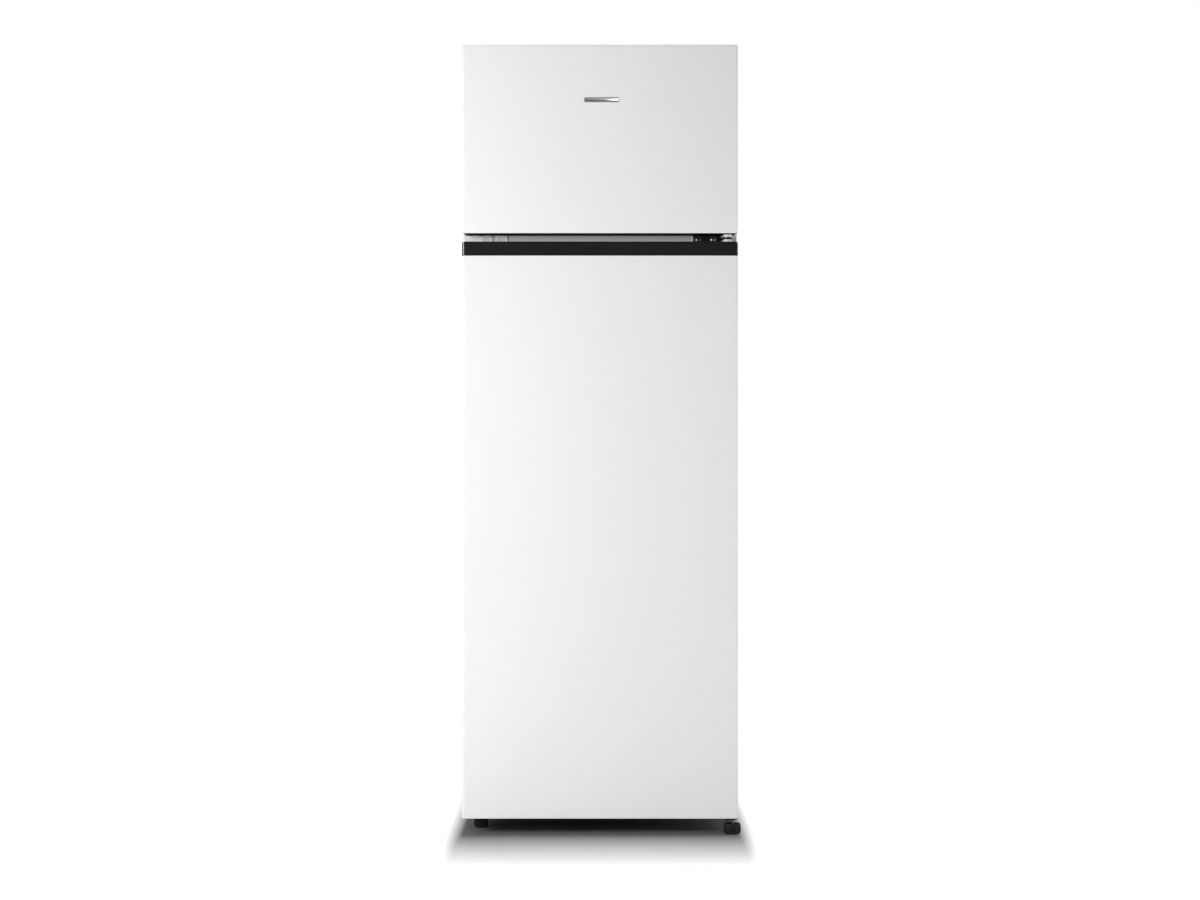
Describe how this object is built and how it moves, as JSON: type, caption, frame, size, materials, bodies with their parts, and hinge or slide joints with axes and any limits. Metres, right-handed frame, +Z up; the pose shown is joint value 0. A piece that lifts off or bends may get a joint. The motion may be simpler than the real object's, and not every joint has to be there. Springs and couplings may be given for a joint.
{
  "type": "top freezer refrigerator",
  "caption": "Tall domestic refrigerator with a small freezer door above a tall fridge door, recessed black grip between them, hinged on the right, on feet and rear rollers.",
  "frame": {"origin": "on the floor, under the centre of the cabinet and doors taken together", "axes": "+Z up, +Y to the back, +X to the hinge side (the right, seen from the front); the doors face -Y"},
  "size_m": [0.5565, 0.5462, 1.575],
  "materials": {
    "white_enamel": "satin baked enamel on steel sheet",
    "grey_steel": "grey painted steel sheet",
    "galvanised": "galvanised steel sheet",
    "foam": "rigid polyurethane foam, pale yellow",
    "liner_white": "vacuum-formed white polystyrene",
    "white_plastic": "white moulded plastic",
    "black_steel": "black painted steel",
    "zinc": "zinc plated",
    "black_enamel": "black enamel",
    "rubber": "black rubber",
    "grey_rubber": "light grey soft vinyl",
    "black_plastic": "black moulded plastic",
    "black_gloss": "glossy black moulded plastic",
    "clear_plastic": "clear moulded polystyrene",
    "copper": "copper tube",
    "aluminium": "aluminium roll-bond sheet",
    "frosted": "frosted moulded plastic",
    "glass": "clear tempered glass",
    "silver_plastic": "satin metallised plate, blank"
  },
  "bodies": {
    "cabinet": {"outer_wrap": "white_enamel", "back_panel": "grey_steel", "bottom_deck": "galvanised", "compressor_base": "galvanised", "cabinet_foam": "foam", "freezer_liner": "liner_white", "fridge_liner": "liner_white", "mullion_strip": "grey_steel", "upper_hinge": "galvanised", "upper_hinge_cover": "white_plastic", "middle_hinge": "black_steel", "lower_hinge": "black_steel", "zinc_screws": "zinc", "black_screws": "black_steel", "hole_plugs": "white_plastic", "compressor": "black_enamel", "compressor_grommets": "rubber", "relay_cover": "black_plastic", "filter_drier": "copper", "refrigerant_tubes": "copper", "drip_tray": "black_plastic", "drain_tube": "black_plastic", "condenser_coils": "copper", "evaporators": "aluminium", "mains_gland": "black_plastic", "control_housing": "white_plastic", "light_lens": "frosted", "glass_shelves": "glass", "crisper_lid": "glass", "freezer_shelf": "glass", "shelf_trims": "white_plastic", "ice_tray": "clear_plastic", "roller_axles": "zinc"},
    "freezer_door": {"freezer_door_skin": "white_enamel", "freezer_door_top_cap": "white_plastic", "freezer_door_bottom_cap": "black_gloss", "freezer_door_foam": "foam", "freezer_door_liner": "liner_white", "freezer_door_gasket": "grey_rubber", "freezer_door_racks": "clear_plastic", "freezer_door_bushes": "white_plastic", "badge": "silver_plastic"},
    "fridge_door": {"fridge_door_skin": "white_enamel", "handle_cap": "black_gloss", "fridge_door_bottom_cap": "white_plastic", "fridge_door_foam": "foam", "fridge_door_liner": "liner_white", "fridge_door_gasket": "grey_rubber", "door_rack_upper": "clear_plastic", "door_rack_middle": "clear_plastic", "bottle_rack": "clear_plastic", "egg_tray": "white_plastic", "fridge_door_bushes": "white_plastic"},
    "crisper": {"crisper_drawer": "clear_plastic"},
    "knob": {"thermostat_knob": "white_plastic"},
    "switch": {"light_switch": "white_plastic"},
    "left_foot": {"foot_left": "black_plastic"},
    "right_foot": {"foot_right": "black_plastic"},
    "left_roller": {"roller_left": "black_plastic"},
    "right_roller": {"roller_right": "black_plastic"}
  },
  "joints": [
    {"name": "freezer_door_hinge", "type": "hinge", "parent": "cabinet", "child": "freezer_door", "pos_m": [0.255, -0.2505, 1.38], "axis": [0, 0, 1], "range_deg": [0, 115]},
    {"name": "fridge_door_hinge", "type": "hinge", "parent": "cabinet", "child": "fridge_door", "pos_m": [0.255, -0.2505, 0.6], "axis": [0, 0, 1], "range_deg": [0, 115]},
    {"name": "crisper_slide", "type": "slide", "parent": "cabinet", "child": "crisper", "axis": [0, -1, 0], "range_m": [0, 0.034]},
    {"name": "thermostat_turn", "type": "hinge", "parent": "cabinet", "child": "knob", "pos_m": [0.16, -0.15, 1.126], "axis": [0, -1, 0], "range_deg": [0, 270]},
    {"name": "light_switch_plunger", "type": "slide", "parent": "cabinet", "child": "switch", "axis": [0, -1, 0], "range_m": [0, 0.0065]},
    {"name": "left_foot_turn", "type": "hinge", "parent": "cabinet", "child": "left_foot", "pos_m": [-0.2415, -0.1545, 0.01], "axis": [0, 0, 1], "continuous": true},
    {"name": "right_foot_turn", "type": "hinge", "parent": "cabinet", "child": "right_foot", "pos_m": [0.264, -0.246, 0.01], "axis": [0, 0, 1], "continuous": true},
    {"name": "left_roller_spin", "type": "hinge", "parent": "cabinet", "child": "left_roller", "pos_m": [-0.229, 0.236, 0.014], "axis": [1, 0, 0], "continuous": true},
    {"name": "right_roller_spin", "type": "hinge", "parent": "cabinet", "child": "right_roller", "pos_m": [0.229, 0.236, 0.014], "axis": [1, 0, 0], "continuous": true}
  ],
  "couplings": [
    {"joint": "light_switch_plunger", "follows": "fridge_door_hinge", "m_per_rad": 0.003238}
  ]
}
